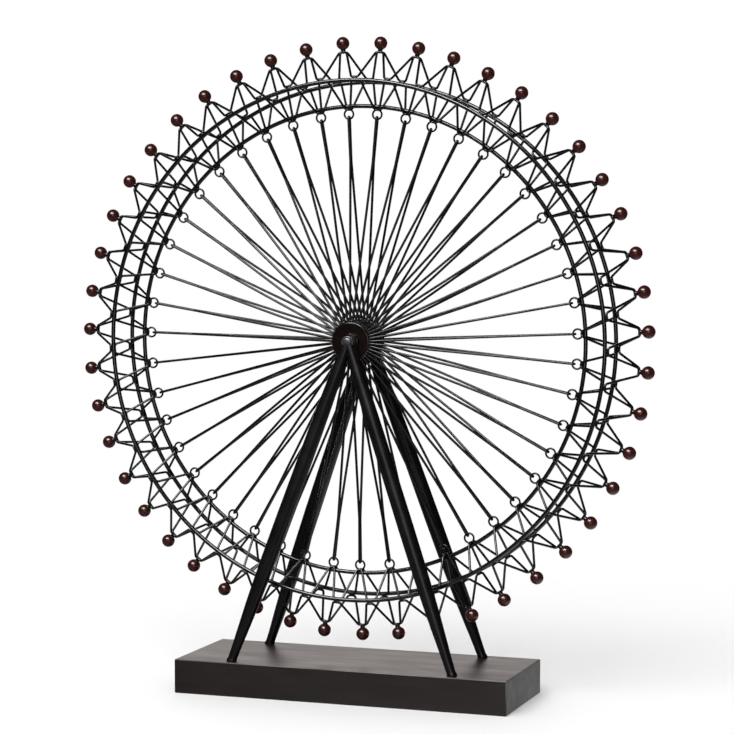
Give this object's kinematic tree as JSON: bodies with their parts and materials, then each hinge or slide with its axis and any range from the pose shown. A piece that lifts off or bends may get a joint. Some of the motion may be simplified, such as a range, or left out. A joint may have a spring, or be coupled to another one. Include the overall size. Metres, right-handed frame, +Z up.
{
  "type": "table-top big wheel ornament",
  "caption": "Table-top big wheel of black wire on two A-frames of tapered legs; the wheel turns by hand on a fixed axle above a wooden block.",
  "frame": {"origin": "centre of the wooden block's underside", "axes": "+X along the block to the right, +Y along the axle to the rear, +Z up"},
  "size_m": [0.6005, 0.125, 0.6534],
  "materials": {
    "stained_wood": "dark stained and varnished, satin",
    "black_satin_paint": "black powder coat, satin",
    "black_wire_paint": "black paint over bent and welded wire, semi-gloss",
    "dark_bronze_paint": "brown-black paint, semi-gloss",
    "red_brown_lacquer": "dark red-brown lacquer, gloss",
    "zinc_steel": "zinc plated"
  },
  "bodies": {
    "stand": {"base_block": "stained_wood", "front_left_leg": "black_satin_paint", "front_right_leg": "black_satin_paint", "rear_left_leg": "black_satin_paint", "rear_right_leg": "black_satin_paint", "front_leg_boss": "black_satin_paint", "rear_leg_boss": "black_satin_paint", "axle": "black_satin_paint", "front_spacer": "black_satin_paint", "rear_spacer": "black_satin_paint", "leg_screws": "zinc_steel"},
    "wheel": {"hub_sleeve": "dark_bronze_paint", "front_hub_disc": "dark_bronze_paint", "rear_hub_disc": "dark_bronze_paint", "front_rim": "black_wire_paint", "rear_rim": "black_wire_paint", "inner_rim": "black_wire_paint", "front_crown_wire": "black_wire_paint", "rear_crown_wire": "black_wire_paint", "front_truss_wire": "black_wire_paint", "rear_truss_wire": "black_wire_paint", "eye_rings": "black_wire_paint", "spokes": "black_wire_paint", "balls": "red_brown_lacquer"}
  },
  "joints": [
    {"name": "wheel_spin", "type": "hinge", "parent": "stand", "child": "wheel", "pos_m": [0, 0, 0.3535], "axis": [0, 1, 0], "continuous": true}
  ]
}
